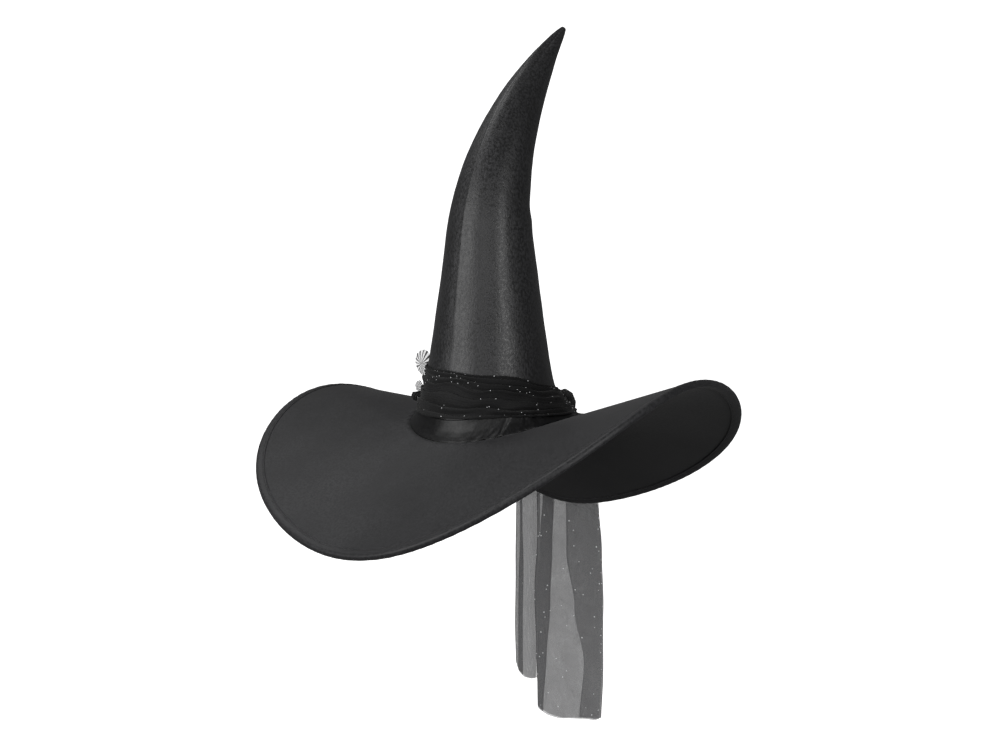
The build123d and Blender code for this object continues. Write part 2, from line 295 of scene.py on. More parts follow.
# ---- materials
class Nodes:
    """Short calls for building a material."""

    def __init__(self, name):
        self.material = bpy.data.materials.new(name)
        self.material.use_nodes = True
        self.tree = self.material.node_tree
        self.shader = self.tree.nodes["Principled BSDF"]

    def node(self, kind, **inputs):
        made = self.tree.nodes.new(kind)
        for key, value in inputs.items():
            made.inputs[key.replace("_", " ")].default_value = value
        return made

    def link(self, source, target):
        self.tree.links.new(source, target)

    def coords(self, kind="Object", scale=(1, 1, 1), turn=0.0):
        source = self.tree.nodes.new("ShaderNodeTexCoord")
        mapping = self.tree.nodes.new("ShaderNodeMapping")
        mapping.inputs["Scale"].default_value = scale
        mapping.inputs["Rotation"].default_value = (0, 0, turn)
        self.link(source.outputs[kind], mapping.inputs["Vector"])
        return mapping.outputs["Vector"]

    def noise(self, vector, scale, detail=3.0, rough=0.55):
        made = self.node("ShaderNodeTexNoise", Scale=scale, Detail=detail, Roughness=rough)
        self.link(vector, made.inputs["Vector"])
        return made.outputs["Fac"]

    def wave(self, vector, scale, direction="X", distortion=0.0):
        made = self.node("ShaderNodeTexWave", Scale=scale, Distortion=distortion)
        made.bands_direction = direction
        self.link(vector, made.inputs["Vector"])
        return made.outputs["Fac"]

    def ramp(self, factor, low, high, start=0.0, end=1.0):
        made = self.tree.nodes.new("ShaderNodeMapRange")
        for key, value in (("From Min", start), ("From Max", end), ("To Min", low), ("To Max", high)):
            made.inputs[key].default_value = value
        self.link(factor, made.inputs["Value"])
        return made.outputs["Result"]

    def math(self, operation, a, b):
        made = self.tree.nodes.new("ShaderNodeMath")
        made.operation = operation
        for socket, value in zip(made.inputs, (a, b)):
            if isinstance(value, (int, float)):
                socket.default_value = value
            else:
                self.link(value, socket)
        return made.outputs[0]

    def colour(self, factor, low, high):
        made = self.tree.nodes.new("ShaderNodeMix")
        made.data_type = "RGBA"
        made.inputs["A"].default_value = (*low, 1)
        made.inputs["B"].default_value = (*high, 1)
        self.link(factor, made.inputs["Factor"])
        self.link(made.outputs["Result"], self.shader.inputs["Base Color"])

    def bump(self, height, depth, strength=1.0):
        made = self.node("ShaderNodeBump", Strength=strength, Distance=depth)
        self.link(height, made.inputs["Height"])
        self.link(made.outputs["Normal"], self.shader.inputs["Normal"])

    def set(self, **values):
        for key, value in values.items():
            self.shader.inputs[key.replace("_", " ")].default_value = value
        return self


THREADS = 900
SLUBS = 420
GLOSS_RANGE = 0.09


def cloth_material(name, dark, light, rough, depth, sheen=0.1, specular=0.4, slub=1.0, detail=2):
    """Woven cloth: slubs that vary its gloss and relief, fine crossing threads, uneven dye."""
    m = Nodes(name)
    threads = m.math("MULTIPLY", m.wave(m.coords("UV"), THREADS, "X"), m.wave(m.coords("UV"), THREADS, "Y"))
    slubs = m.noise(m.coords(scale=(1, 1, 0.7)), SLUBS, detail, 0.6)
    dye = m.noise(m.coords(), 12, 3)
    m.colour(m.math("MULTIPLY", m.ramp(slubs, 0.1, 0.9, 0.36, 0.64), dye), dark, light)
    spread = GLOSS_RANGE * slub
    m.link(m.ramp(slubs, rough - spread, rough + spread, 0.3, 0.7), m.shader.inputs["Roughness"])
    m.bump(m.math("ADD", m.math("MULTIPLY", threads, 0.04), slubs), depth)
    m.set(Sheen_Weight=sheen, Sheen_Roughness=0.4, Specular_IOR_Level=specular)
    return m.material


NET_THREADS = 0.32 / (1.1 * MM)
NET_SLANT = radians(30)


def net_material(name, cover, shade, sheen):
    """Tulle: a fine net, more open between its threads, over a faint cloudy film."""
    m = Nodes(name)
    across = m.wave(m.coords("UV", turn=NET_SLANT), NET_THREADS, "X")
    along = m.wave(m.coords("UV", turn=-NET_SLANT), NET_THREADS, "X")
    net = m.math("MAXIMUM", across, along)
    cloud = m.noise(m.coords("Object"), 60, 3)
    grain = m.noise(m.coords("Object"), 520, 3, 0.7)
    film = m.math("ADD", m.ramp(cloud, -0.02, 0.02, 0.3, 0.7), m.ramp(grain, -0.09, 0.09, 0.3, 0.7))
    m.link(m.math("ADD", m.ramp(net, cover - 0.2, cover + 0.12), film), m.shader.inputs["Alpha"])
    m.colour(net, [0.6 * c for c in shade], shade)
    m.set(Roughness=0.7, Sheen_Weight=sheen, Sheen_Roughness=0.5, Specular_IOR_Level=0.25)
    return m.material


BLACK = (0.006, 0.006, 0.0065)
CHARCOAL = (0.021, 0.021, 0.0225)

crown_satin = cloth_material(
    "crown_satin", (0.006, 0.006, 0.0064), (0.040, 0.040, 0.043), rough=0.43,
    depth=0.26 * MM, sheen=0.05, specular=0.5, detail=1,
)
brim_satin = cloth_material(
    "brim_satin", (0.010, 0.010, 0.011), (0.050, 0.050, 0.053), rough=0.54,
    depth=0.10 * MM, sheen=0.05, specular=0.3, slub=0.6,
)
under_satin = cloth_material(
    "under_satin", (0.015, 0.015, 0.0155), (0.046, 0.046, 0.048), rough=0.52,
    depth=0.08 * MM, sheen=0.05, specular=0.3,
)
# the band is satin like the crown's, coloured far darker than it: painted shade at the crown's foot
band_satin_painted_shade = cloth_material(
    "band_satin_painted_shade", (0.003, 0.003, 0.0032), (0.010, 0.010, 0.011), rough=0.40,
    depth=0.06 * MM, sheen=0.01, specular=0.3, slub=0.6, detail=1,
)
binding_satin = cloth_material(
    "binding_satin", (0.012, 0.012, 0.013), (0.045, 0.045, 0.048), rough=0.48,
    depth=0.05 * MM, sheen=0.05, specular=0.3,
)
sash_net = net_material("sash_net", cover=0.95, shade=(0.0065, 0.0065, 0.0068), sheen=0.08)
# the tails' net is the sash's near-black tulle with a far lighter colour: painted light
tail_net_painted_light = net_material("tail_net_painted_light", cover=0.66, shade=(0.18, 0.18, 0.185), sheen=0.2)
lining_cloth = cloth_material(
    "lining_cloth", BLACK, CHARCOAL, rough=0.75, depth=0.03 * MM, sheen=0.02, specular=0.2
)
tape_cloth = cloth_material("tape_cloth", BLACK, CHARCOAL, rough=0.7, depth=0.05 * MM, specular=0.2)
thread_cloth = cloth_material(
    "thread_cloth", (0.02, 0.02, 0.02), (0.06, 0.06, 0.06), rough=0.45, depth=0.02 * MM
)


def foam_material():
    """Closed-cell foam: fine pits."""
    m = Nodes("foam")
    cells = m.node("ShaderNodeTexVoronoi", Scale=900.0)
    m.link(m.coords(), cells.inputs["Vector"])
    m.colour(cells.outputs["Distance"], (0.02, 0.02, 0.02), (0.06, 0.06, 0.06))
    m.bump(cells.outputs["Distance"], 0.2 * MM)
    m.set(Roughness=0.9)
    return m.material


def wire_material():
    """Drawn steel: fine streaks and a trace of tarnish."""
    m = Nodes("wire")
    streaks = m.noise(m.coords(scale=(1, 1, 8)), 900, 4)
    m.colour(streaks, (0.32, 0.32, 0.33), (0.6, 0.6, 0.61))
    m.link(m.ramp(streaks, 0.2, 0.45), m.shader.inputs["Roughness"])
    m.set(Metallic=1.0)
    return m.material


def grosgrain_material():
    """Ribbed ribbon: close upright ribs."""
    m = Nodes("grosgrain")
    ribs = m.wave(m.coords("UV"), 300, "X")
    m.colour(ribs, BLACK, (0.03, 0.03, 0.03))
    m.bump(ribs, 0.15 * MM)
    m.set(Roughness=0.6, Sheen_Weight=0.2)
    return m.material


def label_material():
    """A blank white woven label."""
    m = Nodes("label")
    weave = m.wave(m.coords(), 900, "X")
    m.colour(m.noise(m.coords(), 300), (0.6, 0.6, 0.58), (0.78, 0.78, 0.76))
    m.bump(weave, 0.05 * MM)
    m.set(Roughness=0.8)
    return m.material


def organza_material():
    """Sheer ribbon with darker ribs."""
    m = Nodes("organza")
    ribs = m.wave(m.coords("UV"), 62, "X", 1.0)
    fine = m.noise(m.coords("UV"), 900, 2)
    m.colour(ribs, (0.03, 0.03, 0.031), (0.5, 0.5, 0.51))
    cover = m.math("ADD", m.ramp(ribs, 0.85, 0.22, 0.1, 0.6), m.ramp(fine, 0.0, 0.15))
    m.link(cover, m.shader.inputs["Alpha"])
    m.set(Roughness=0.3, Specular_IOR_Level=0.6, Sheen_Weight=0.3)
    return m.material


def glitter_painted_glint_material():
    """Little bright flakes, some brighter than others; their faint white glow is a painted glint."""
    m = Nodes("glitter")
    m.colour(m.noise(m.coords(), 500, 1), (0.55, 0.56, 0.6), (0.95, 0.95, 0.97))
    # the white emission makes every flake glow faintly: a painted glint, not a lamp
    m.set(Roughness=0.25, Metallic=0.3, Emission_Color=(1, 1, 1, 1), Emission_Strength=0.25)
    return m.material


foam = foam_material()
wire = wire_material()
grosgrain = grosgrain_material()
label_cloth = label_material()
organza = organza_material()
glitter = glitter_painted_glint_material()

for node, material in {
    "crown_foam": foam,
    "brim_core": foam,
    "crown_spine_wire": wire,
    "brim_wire": wire,
    "brim_wire_ferrule": wire,
    "spine_wire_channel": tape_cloth,
    "seam_tape": tape_cloth,
    "care_label": label_cloth,
}.items():
    paint(frame["nodes"][node], material)


# ---- brim
BRIM_RUNS = 56
RAY_RETREATS = (0, 0.3, 0.6, 1, 1.5, 2.5, 4, 6)
SEAM_ALLOWANCE = (5.5 * MM, 3 * MM, 1.2 * MM)
SATIN_THICK = 0.7 * MM


def brim_point(k, share, height):
    """A point of the brim's surface at turn k of TURNS and a share of the way to the edge."""
    turn = tau * k / TURNS
    radius = hole_radius[k] + share * (edge_radius[k] - hole_radius[k])
    x, y = radius * cos(turn), radius * sin(turn)
    inward = 1 if share > 0.5 else -1
    for shrink in RAY_RETREATS:
        inner = radius - inward * shrink * MM
        level = height(inner * cos(turn), inner * sin(turn))
        if level is not None:
            return x, y, level
    raise ValueError(f"the brim has a hole at turn {k}, share {share}")


def brim_pucker(turn, share):
    """Small gathers beside the seam and the binding, and slow waves between."""
    at_seam = exp(-share / 0.06) * sin(turn * 34 + 3 * sin(turn * 5))
    at_edge = exp(-(1 - share) / 0.07) * sin(turn * 90 + 5 * sin(turn * 7))
    slow = noise.noise(Vector((cos(turn) * 3, sin(turn) * 3, share * 2)))
    return (0.35 * at_seam + 0.16 * at_edge + 0.5 * slow * sin(pi * share)) * MM


def turned_in(height, inward):
    """The cloth's seam allowance, turned in and down under the crown's foot."""
    row = []
    for k in range(TURNS):
        x, y, level = brim_point(k, 0, height)
        shrink = 1 - inward / hole_radius[k]
        row.append((x * shrink, y * shrink, level - inward * 0.25))
    return row


def brim_sheet(name, height, side, material, node):
    """One satin of the brim; side is 1 for the top and -1 below, where it puckers less."""
    rows = [turned_in(height, inward) for inward in SEAM_ALLOWANCE]
    fullness = 1 if side > 0 else 0.6
    for step in range(BRIM_RUNS + 1):
        share = step / BRIM_RUNS
        row = []
        for k in range(TURNS):
            x, y, level = brim_point(k, share, height)
            row.append((x, y, level + brim_pucker(tau * k / TURNS, share) * fullness))
        rows.append(row)
    obj = grid(name, rows, wrap=True, uv=lambda row, column: rows[row][column][:2])
    thicken(obj, SATIN_THICK, -side)
    return dress(obj, material, replaced=[node])


brim_top = brim_sheet("brim_top_satin", brim_height, 1, brim_satin, "brim_top_cover")
brim_under = brim_sheet(
    "brim_under_satin", under_height, -1, under_satin, "brim_under_cover"
)


def brim_frame(turn):
    """The brim's edge point with directions outward along the cloth and square to it."""
    edge = edge_point(turn)
    inner_radius = at_turn(edge_radius, turn) - 12 * MM
    inner = polar(turn, inner_radius, brim_height(inner_radius * cos(turn), inner_radius * sin(turn)))
    out = (edge - inner).normalized()
    ahead = edge_point(turn + 0.01) - edge_point(turn - 0.01)
    square = out.cross(ahead).normalized()
    if square.z < 0:
        square = -square
    return edge, out, square


# the binding's section in mm: out past the edge and up from the brim's top, first its outside,
# from the sewn-down hem on top round to the one below, then its inside
BRIM_THICK = 5.2
BINDING_HEM = 9.2
BINDING_OUTSIDE = [
    (-8.8, 0.35), (-9.2, 0.8), (-8.7, 1.25), (-7.9, 1.25), (-7.3, 0.95), (-6.6, 1.3), (-5, 1.45),
    (-3, 1.5), (-1, 1.4), (0.7, 0.9), (1.7, -0.2), (2.1, -1.4), (2.25, -2.6), (2.1, -3.9), (1.7, -5),
    (0.7, -6.1), (-1, -6.6), (-3, -6.7), (-5, -6.65), (-6.6, -6.5), (-7.3, -6.15), (-7.9, -6.45),
    (-8.7, -6.45), (-9.2, -6.0), (-8.8, -5.55),
]
BINDING_INSIDE = [(-4, -5.5), (0.2, -5.45), (0.45, -2.6), (0.2, 0.25), (-4, 0.3)]
BINDING_LENGTH = 1.7
BINDING_GIRTH = 0.03
frames = [brim_frame(tau * k / (2 * TURNS)) for k in range(2 * TURNS)]


def binding_rows():
    rows = []
    for k, (edge, out, square) in enumerate(frames):
        turn = tau * k / len(frames)
        row = []
        for run, lift in BINDING_OUTSIDE:
            away = sqrt(max(0.0, min(1.0, (run + BINDING_HEM) / 6)))
            ripple = 0.14 * sin(turn * 120 + 4 * sin(turn * 11) + run) * away + 0.1 * noise.noise(edge * 60)
            grow = 1 if lift > -BRIM_THICK / 2 else -1
            row.append(edge + out * (run * MM) + square * ((lift + grow * ripple) * MM))
        for run, lift in BINDING_INSIDE:
            row.append(edge + out * (run * MM) + square * (lift * MM))
        rows.append(row)
    return rows


def ring_of_sections(name, sections):
    """A closed tube from sections that go round the hat and meet."""
    mesh = bpy.data.meshes.new(name)
    count, width = len(sections), len(sections[0])
    verts = [tuple(p) for section in sections for p in section]
    faces = []
    for r in range(count):
        n = (r + 1) % count
        for c in range(width):
            d = (c + 1) % width
            faces.append((r * width + c, n * width + c, n * width + d, r * width + d))
    mesh.from_pydata(verts, [], faces)
    layer = mesh.uv_layers.new(name="cloth")
    for loop in mesh.loops:
        row, column = divmod(loop.vertex_index, width)
        layer.data[loop.index].uv = (row * BINDING_LENGTH / count, column * BINDING_GIRTH / width)
    obj = linked(name, mesh)
    recalc(obj)
    return obj


def recalc(obj):
    """Turn every face to look outward."""
    made = bmesh.new()
    made.from_mesh(obj.data)
    bmesh.ops.recalc_face_normals(made, faces=made.faces)
    made.to_mesh(obj.data)
    made.free()
    smooth(obj)


binding = ring_of_sections("edge_binding", binding_rows())
dress(binding, binding_satin, replaced=["brim_binding"])


STITCH_SIDES = 6
STITCH_SHAPE = ((-0.5, 0.25), (-0.4, 0.8), (0, 1.0), (0.4, 0.8), (0.5, 0.25))
STITCH_LINES = ((-7.3, 1.1, 1), (-7.3, -6.3, -1))


def stitch_mesh(name, places, length, radius):
    """One mesh of many short stitches, each a little bead of thread lying along its direction."""
    made = bmesh.new()
    sides = STITCH_SIDES
    for centre, along, up in places:
        side = along.cross(up).normalized()
        rings = []
        for t, size in STITCH_SHAPE:
            lift = 0.35 * radius * (1 - 4 * t * t)
            middle = centre + along * (t * length) + up * lift
            ring = []
            for s in range(sides):
                a = tau * s / sides
                ring.append(made.verts.new(middle + (side * cos(a) + up * sin(a)) * (radius * size)))
            rings.append(ring)
        for near, far in zip(rings, rings[1:]):
            for s in range(sides):
                made.faces.new((near[s], near[(s + 1) % sides], far[(s + 1) % sides], far[s]))
        made.faces.new(list(reversed(rings[0])))
        made.faces.new(rings[-1])
    obj = from_bmesh(name, made)
    smooth(obj)
    return obj


def binding_stitches():
    """A stitch at every frame of the edge, on the binding's top and below it."""
    places = []
    for k, (edge, out, square) in enumerate(frames):
        following = frames[(k + 1) % len(frames)][0]
        along = (following - edge).normalized()
        for run, lift, side in STITCH_LINES:
            places.append((edge + out * (run * MM) + square * (lift * MM), along, square * side))
    return stitch_mesh("binding_stitches", places, 1.6 * MM, 0.24 * MM)


dress(binding_stitches(), thread_cloth, replaced=["binding_stitching"])


# ---- crown
CROWN_TURNS = 192
CROWN_ROWS = 170
CROWN_GIRTH = 0.45
CROWN_LENGTH = 0.47
FOOT_TUCK = 3.5 * MM
BACK_BEND = 0.242


def crown_detail(height, turn):
    """What the smooth form lacks: the front seam with its ridge and the flat beside it, a kink at
    the back bend, loose cloth, and a blunter tip."""
    share = height / crown_high.z
    front = (turn + pi / 2 + pi) % tau - pi
    ridge = 1.5 * exp(-((front / radians(13)) ** 2)) * min(1, max(0, (share - 0.55) / 0.2))
    flat = -1.0 * exp(-(((front - radians(34)) / radians(18)) ** 2)) * min(1, max(0, (share - 0.6) / 0.2))
    seam = 0.5 * exp(-((front / radians(2.2)) ** 2)) * min(1, max(0, share * 3))
    back = (turn - radians(62) + pi) % tau - pi
    side = exp(-((back / radians(55)) ** 2))
    rise = height - BACK_BEND
    kink = side * (1.0 * exp(-((rise + 0.008) / 0.010) ** 2) - 1.1 * exp(-((rise - 0.010) / 0.014) ** 2))
    slack = 0.9 * noise.noise(Vector((cos(turn) * 1.6, sin(turn) * 1.6, height * 9)))
    slack += 0.3 * noise.noise(Vector((cos(turn) * 4, sin(turn) * 4, height * 40)))
    fade = min(1, max(0, (crown_high.z - height) / 0.03))
    blunt = 1.2 * min(1, max(0, (height - crown_high.z + 0.03) / 0.02))
    return ((ridge + flat + seam + kink + slack) * fade + blunt) * MM


def crown_rows(wall, top, detail=True):
    rows = []
    for step in range(CROWN_ROWS + 1):
        rise = step / CROWN_ROWS
        row = []
        for c in range(CROWN_TURNS):
            turn = tau * c / CROWN_TURNS
            low = seam_height(turn) - FOOT_TUCK
            height = low + (top - low) * rise
            point = skin_point(wall, height, turn)
            centre = spine(height)
            extra = crown_detail(height, turn) if detail else 0
            radial = (point - centre).normalized()
            row.append(point + radial * extra)
        rows.append(row)
    return rows


def crown_uv(row, column):
    return (column / CROWN_TURNS * CROWN_GIRTH, row / CROWN_ROWS * CROWN_LENGTH)


outside_rows = crown_rows(crown_tree, crown_high.z - 3 * MM)
crown = grid("crown_satin_cover", outside_rows, wrap=True, cap=True, uv=crown_uv)
recalc(crown)
thicken(crown, SATIN_THICK)
dress(crown, crown_satin, replaced=["crown_cover"])

# ---- satin band
BAND_ROWS = 22
BAND_TURNS = 360
BAND_HEIGHT = 24 * MM
BAND_TUCK = 1.5 * MM
BAND_LEAST = 0.9 * MM
# each pucker: turn and slant in degrees, depth in mm, width in degrees
PUCKERS = [
    (294, 14, 1.9, 4.6), (305, 18, 2.4, 3.8), (315, 15, 1.9, 3.2), (329, 10, 1.4, 2.8),
    (337, 4, 1.2, 2.6), (349, 24, 1.2, 5), (5, -26, 1.4, 6), (40, 20, 1.3, 6), (95, -25, 1.8, 6),
    (130, 20, 1.6, 7), (170, -18, 1.2, 6), (205, 22, 0.9, 6), (244, -14, 0.5, 7), (262, 16, 0.5, 6),
]


def band_pucker(turn, share):
    """Slanting folds where the band's cloth is eased onto the crown."""
    total = 0.0
    for place, slant, depth, width in PUCKERS:
        middle = radians(place + slant * (share - 0.5))
        away = (turn - middle + pi) % tau - pi
        total += depth * exp(-((away / radians(width)) ** 2)) * (0.4 + 0.6 * (1 - share))
        away = (turn - middle - radians(width * 1.6) + pi) % tau - pi
        total -= 0.7 * depth * exp(-((away / radians(width)) ** 2)) * (0.4 + 0.6 * (1 - share))
    return total * MM


def band_profile(share):
    """How far the band stands off the crown, from its rolled lower edge to its top."""
    return (0.8 + 2.4 * (1 - exp(-share / 0.04)) - 1.3 * share) * MM


def band_proud(turn, share):
    """How far the band's outside stands off the crown, puckers and all."""
    ease = max(sin(pi * min(1, 0.12 + share)), 0) ** 0.5
    return max(band_profile(share) + band_pucker(turn, share) * ease, BAND_LEAST)


def band_row(step):
    share = step / BAND_ROWS
    row = []
    for c in range(BAND_TURNS):
        turn = tau * c / BAND_TURNS
        height = seam_height(turn) - BAND_TUCK + (BAND_HEIGHT + BAND_TUCK) * share
        point = skin_point(crown_tree, height, turn)
        centre = spine(height)
        radial = Vector((point.x, point.y - centre.y, 0)).normalized()
        row.append(point + radial * band_proud(turn, share))
    return row


def band_face(turn, rise):
    """The same at a rise above the seam, fading out above the band."""
    share = (rise + BAND_TUCK) / (BAND_HEIGHT + BAND_TUCK)
    beyond = max(rise - BAND_HEIGHT, 0) / (5 * MM)
    return band_proud(turn, min(max(share, 0), 1)) * exp(-beyond ** 2)


band_sheet = grid(
    "hat_band_satin", [band_row(step) for step in range(BAND_ROWS + 1)], wrap=True,
    uv=lambda row, column: (column / BAND_TURNS * 0.6, row / BAND_ROWS * 0.03),
)
thicken(band_sheet, 0.5 * MM)
dress(band_sheet, band_satin_painted_shade, replaced=["satin_band"])

# ---- tulle sash
SASH_TURNS = 420
SASH_ROWS = 96
knot_low, knot_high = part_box("sash_knot")
knot_centre = (knot_low + knot_high) / 2
knot_turn = atan2(knot_centre.y, knot_centre.x)
PLEATS = 6
KNOT_DRAW = radians(28)


def between(stations, turn):
    """A smooth value round the hat through (degrees, value) stations."""
    degrees = turn / pi * 180 % 360
    count = len(stations)
    for k in range(count):
        start, value = stations[k]
        end, following = stations[(k + 1) % count]
        width = (end - start) % 360
        away = (degrees - start) % 360
        if away < width:
            f = away / width
            before = stations[k - 1][1]
            after = stations[(k + 2) % count][1]
            slope = (following - before) / 2
            leaving = (after - value) / 2
            rise = following - value
            bend = 3 * rise - 2 * slope - leaving + f * (slope + leaving - 2 * rise)
            return value + f * (slope + f * bend)
    return stations[0][1]


# the sash's lower and upper edges: turn in degrees, height in mm
SASH_LOW = [(20, 15), (62, 9), (105, 12), (160, 12), (210, 13), (250, 14), (285, 17), (325, 20.5)]
SASH_HIGH = [
    (20, 43), (62, 36), (105, 44), (150, 54), (195, 64), (240, 66.5), (285, 67), (312, 66),
    (335, 62), (357, 51),
]


def sash_heights(turn):
    """Lower and upper edge of the sash: high over the rosette, drawn in at the knot."""
    wavy = 0.8 * sin(3 * turn + 1) + 0.5 * sin(7 * turn)
    return between(SASH_LOW, turn) * MM, (between(SASH_HIGH, turn) + wavy) * MM


FOLD_EDGES = [0.0, 0.13, 0.27, 0.60, 0.74, 0.86, 1.0]
FOLD_DEPTHS = [2.0, 2.6, 2.6, 2.6, 2.4, 2.0]


def sash_point(turn, share):
    """A point of the sash: shingled folds of unequal depth, drawn together at the knot."""
    low, high = sash_heights(turn)
    gather = exp(-(((turn - knot_turn + pi) % tau - pi) / KNOT_DRAW) ** 2)
    place = min(share * PLEATS, PLEATS - 0.0001)
    k = int(place)
    within = place - k
    tucked = within + 0.24 * sin(tau * within)
    along = FOLD_EDGES[k] + (FOLD_EDGES[k + 1] - FOLD_EDGES[k]) * tucked
    drift = -0.3 * sin(turn + 0.8) + 0.12 * sin(3 * turn)
    drift += 0.5 * noise.noise(Vector((cos(turn) * 2.2, sin(turn) * 2.2, share * 3)))
    along = max(0.0, min(1.0, along + drift * along * (1 - along)))
    height = low + (high - low) * along
    fold = 0.5 + 0.5 * cos(tau * (within - 0.2))
    swell = 0.6 + 0.6 * noise.noise(Vector((cos(turn) * 2.5, sin(turn) * 2.5, k * 1.7)))
    rise = height - seam_height(turn)
    crumple = 0.3 * noise.noise(Vector((cos(turn) * 7, sin(turn) * 7, height * 160)))
    over_band = max(0.5, band_face(turn, rise) / MM + 0.8)
    depth = FOLD_DEPTHS[k] * fold * (0.5 + 0.9 * swell) * (1 - 0.6 * gather)
    proud = over_band + 0.7 + depth + crumple
    point = skin_point(crown_tree, height, turn)
    centre = spine(height)
    radial = Vector((point.x, point.y - centre.y, 0)).normalized()
    return point + radial * (proud * MM)


sash_rows = [
    [sash_point(tau * c / SASH_TURNS, r / SASH_ROWS) for c in range(SASH_TURNS)]
    for r in range(SASH_ROWS + 1)
]
sash = grid(
    "sash_pleats", sash_rows, wrap=True,
    uv=lambda row, column: (column / SASH_TURNS * 0.5, row / SASH_ROWS * 0.08),
)
thicken(sash, 0.25 * MM)
dress(sash, sash_net, replaced=["sash_wrap"])


# ---- knot
# in mm
KNOT_RADIUS = 83.5
KNOT_LENGTH, KNOT_DEPTH, KNOT_TALL = 25, 11.5, 14.5


def ball(name, rows, sides, place, wide, tall):
    """A closed lumpy mesh; place gives the point for a way out, a latitude and a longitude."""
    points = []
    for r in range(rows + 1):
        lat = pi * r / rows
        row = []
        for c in range(sides):
            lon = tau * c / sides
            way = Vector((cos(lon) * sin(lat), sin(lon) * sin(lat), cos(lat)))
            row.append(place(way, lat, lon))
        points.append(row)
    obj = grid(name, points, wrap=True, uv=lambda row, column: (column / sides * wide, row / rows * tall))
    recalc(obj)
    return obj


def knot_mesh():
    """The sash's end rolled under: creases run along a lumpy, slightly waisted roll."""
    turn = knot_turn - radians(17)
    out = polar(turn, 1.0)
    side = Vector((-sin(turn), cos(turn), 0))
    centre = out * KNOT_RADIUS * MM + UP * (knot_centre.z + 1 * MM)

    def place(way, lat, lon):
        crease = 1 - 0.05 * abs(sin(lon * 4 + 1.2 * sin(lat * 2))) ** 0.7
        size = crease * (1 + 0.10 * noise.noise(way * 2.3)) * sin(lat) ** 0.6
        around = out * (cos(lon) * KNOT_DEPTH * MM) + UP * (sin(lon) * KNOT_TALL * MM)
        return centre + side * (cos(lat) * KNOT_LENGTH * MM) + around * size

    return ball("sash_knot_gathers", 48, 96, place, 0.09, 0.05)


knot = dress(knot_mesh(), sash_net, replaced=["sash_knot"])


# ---- tails
def curve_through(values, t):
    """A smooth value through evenly spaced values, t from 0 to 1."""
    spans = len(values) - 1
    place = min(t, 0.999999) * spans
    k = int(place)
    f = place - k
    a, b = values[max(k - 1, 0)], values[k]
    c, d = values[k + 1], values[min(k + 2, spans)]
    bend = (2 * a - 5 * b + 4 * c - d) * f * f
    return 0.5 * (2 * b + (c - a) * f + bend + (3 * b - a - 3 * c + d) * f ** 3)


joints = {joint["name"]: joint for joint in frame["joints"]}
swing_axis = Vector(joints["long_tail_swing"]["axis"])
outward = Vector((-swing_axis.y, swing_axis.x, 0))
TAIL_RUN_SHARE = 0.36
CREASE_WIDTH = 2
CREASE_START = 5
CREASE_PROUD = 0.35
FOLD_TURN = 0.1
EDGE_CLEAR = 1.0 * MM


def station(values, down):
    """A value between evenly spaced stations down a tail."""
    place = min(max(down, 0), 0.9999) * (len(values) - 1)
    k = int(place)
    f = place - k
    f = f * f * (3 - 2 * f)
    return values[k] + (values[k + 1] - values[k]) * f


def fold_place(folds, shares, u, down):
    """Where a place across the cut lies once folded: (share of the width, depth in mm).

    folds is a list of (places down the tail, depth in mm of the layer that follows)."""
    k = 0
    while k < len(shares) - 2 and u > shares[k + 1]:
        k += 1
    f = (u - shares[k]) / (shares[k + 1] - shares[k])
    here = station(folds[k][0], down)
    there = station(folds[k + 1][0], down)
    depth = folds[k][1]
    near = FOLD_TURN
    if f < near and k > 0:
        half = (folds[k - 1][1] + depth) / 2
        depth = half + (depth - half) * sin(pi / 2 * f / near)
    elif f > 1 - near and k < len(shares) - 2:
        half = (folds[k + 1][1] + depth) / 2
        depth = half + (depth - half) * sin(pi / 2 * (1 - f) / near)
    return here + (there - here) * (0.5 - 0.5 * cos(pi * f)), depth


def crease_strips(obj, shares, columns, first_row):
    """Narrow second layers on the strip's hemmed edges and pressed folds, a little proud of it."""
    width = CREASE_WIDTH
    places = [v.co.copy() for v in obj.data.vertices]
    rows = len(places) // (columns + 1)
    made = bmesh.new()
    made.from_mesh(obj.data)
    layer = made.loops.layers.uv.active
    for share in shares:
        first = min(max(round(share * columns) - width, 0), columns - 2 * width)
        kept = None
        for r in range(first_row, rows):
            run = places[r * (columns + 1) + first:r * (columns + 1) + first + 2 * width + 1]
            raised = [made.verts.new(p - outward * CREASE_PROUD * MM) for p in run]
            if kept:
                for c in range(2 * width):
                    face = made.faces.new((kept[c], kept[c + 1], raised[c + 1], raised[c]))
                    face.smooth = True
                    for loop, (dx, dy) in zip(face.loops, ((0, 0), (1, 0), (1, 1), (0, 1))):
                        loop[layer].uv = ((first + c + dx) * 0.0013, (r + dy) * 0.003)
            kept = raised
    made.to_mesh(obj.data)
    made.free()
    obj.data.update()


